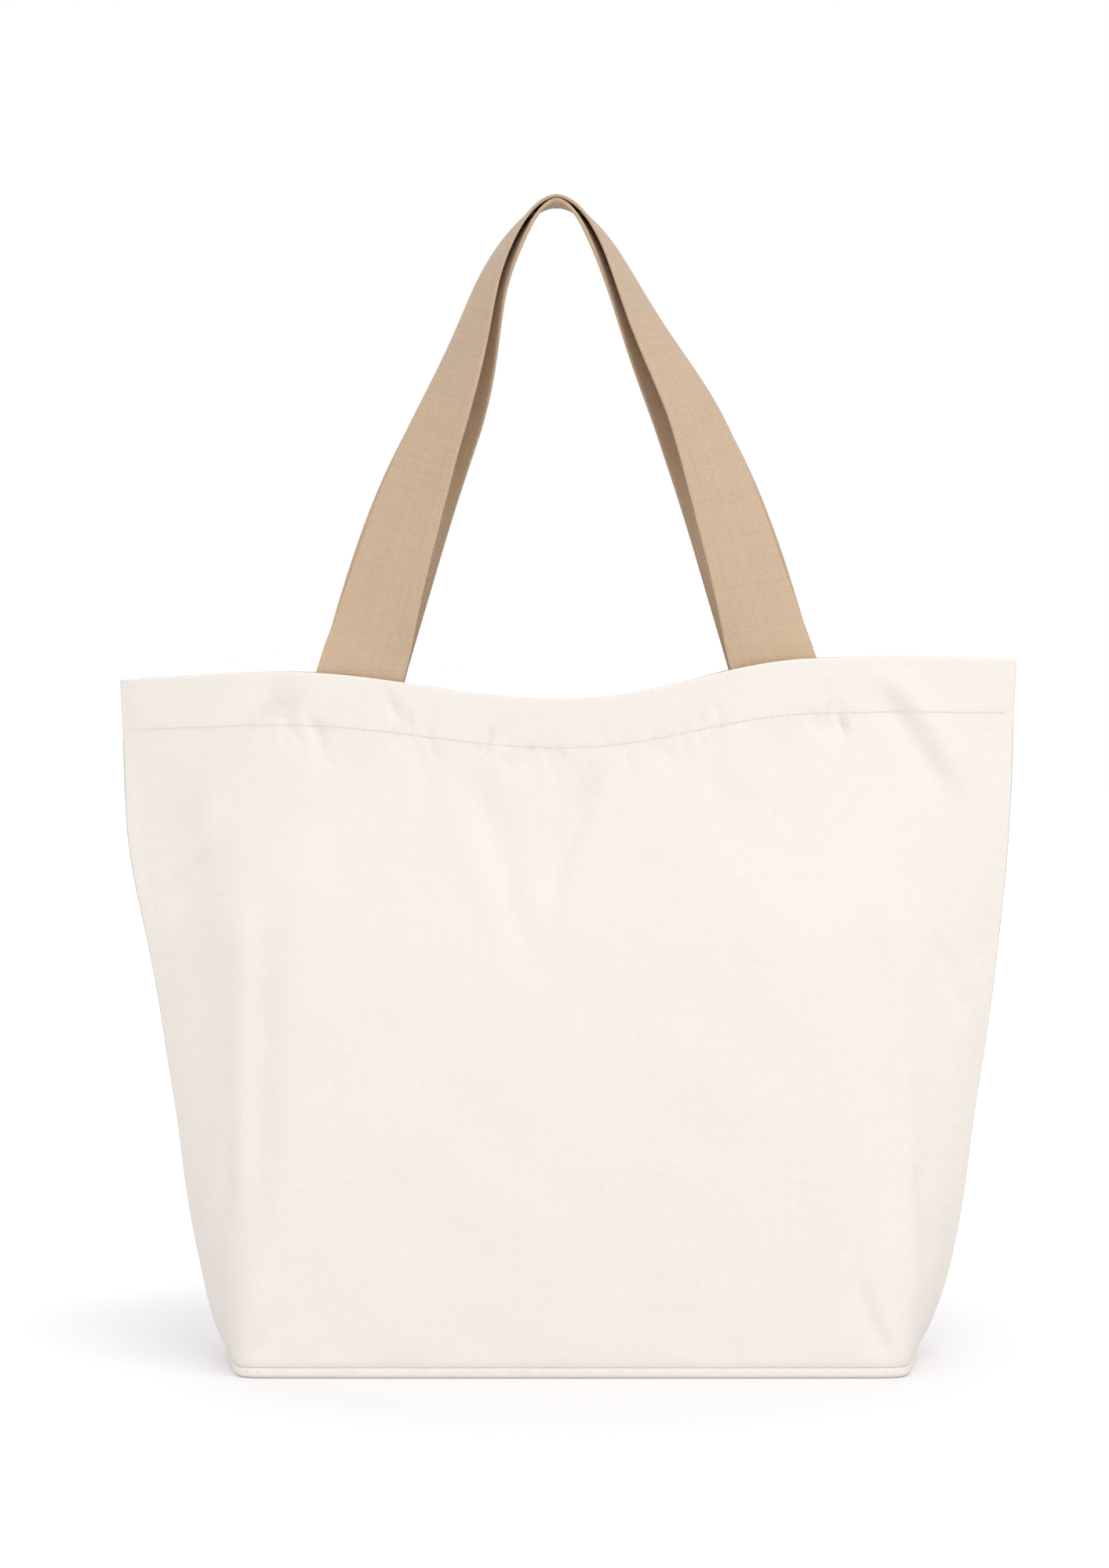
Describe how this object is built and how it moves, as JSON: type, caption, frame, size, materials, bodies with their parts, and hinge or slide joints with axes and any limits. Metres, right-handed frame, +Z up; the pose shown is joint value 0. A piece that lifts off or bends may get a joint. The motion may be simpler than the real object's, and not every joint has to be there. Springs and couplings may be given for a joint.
{
  "type": "canvas tote bag",
  "caption": "Open canvas tote bag with a flat base, boxed corners, folded hem and webbing handles that swing out over the hem.",
  "frame": {"origin": "on the floor under the middle of the bag's base", "axes": "+X runs across the bag towards its right seam, -Y is the front, +Z is up"},
  "size_m": [0.5192, 0.1524, 0.6727],
  "materials": {
    "canvas": "plain woven, unbleached cotton",
    "webbing": "heavy woven cotton webbing, tan",
    "canvas_thread": "spun sewing thread, off-white",
    "webbing_thread": "spun sewing thread, tan"
  },
  "bodies": {
    "root": {"front_panel": "canvas", "back_panel": "canvas", "base_panel": "canvas", "front_handle_left_end": "webbing", "front_handle_right_end": "webbing", "back_handle_left_end": "webbing", "back_handle_right_end": "webbing", "front_handle_left_box_stitching": "webbing_thread", "front_handle_right_box_stitching": "webbing_thread", "back_handle_left_box_stitching": "webbing_thread", "back_handle_right_box_stitching": "webbing_thread", "front_hem_stitching": "canvas_thread", "back_hem_stitching": "canvas_thread", "left_side_seam_overlock": "canvas_thread", "right_side_seam_overlock": "canvas_thread", "base_seam_overlock": "canvas_thread"},
    "front_handle": {"front_handle": "webbing"},
    "back_handle": {"back_handle": "webbing"}
  },
  "joints": [
    {"name": "front_handle_swing", "type": "hinge", "parent": "root", "child": "front_handle", "pos_m": [0, -0.0396, 0.4015], "axis": [1, 0, 0], "range_deg": [0, 165]},
    {"name": "back_handle_swing", "type": "hinge", "parent": "root", "child": "back_handle", "pos_m": [0, 0.0396, 0.4015], "axis": [-1, 0, 0], "range_deg": [0, 165]}
  ]
}
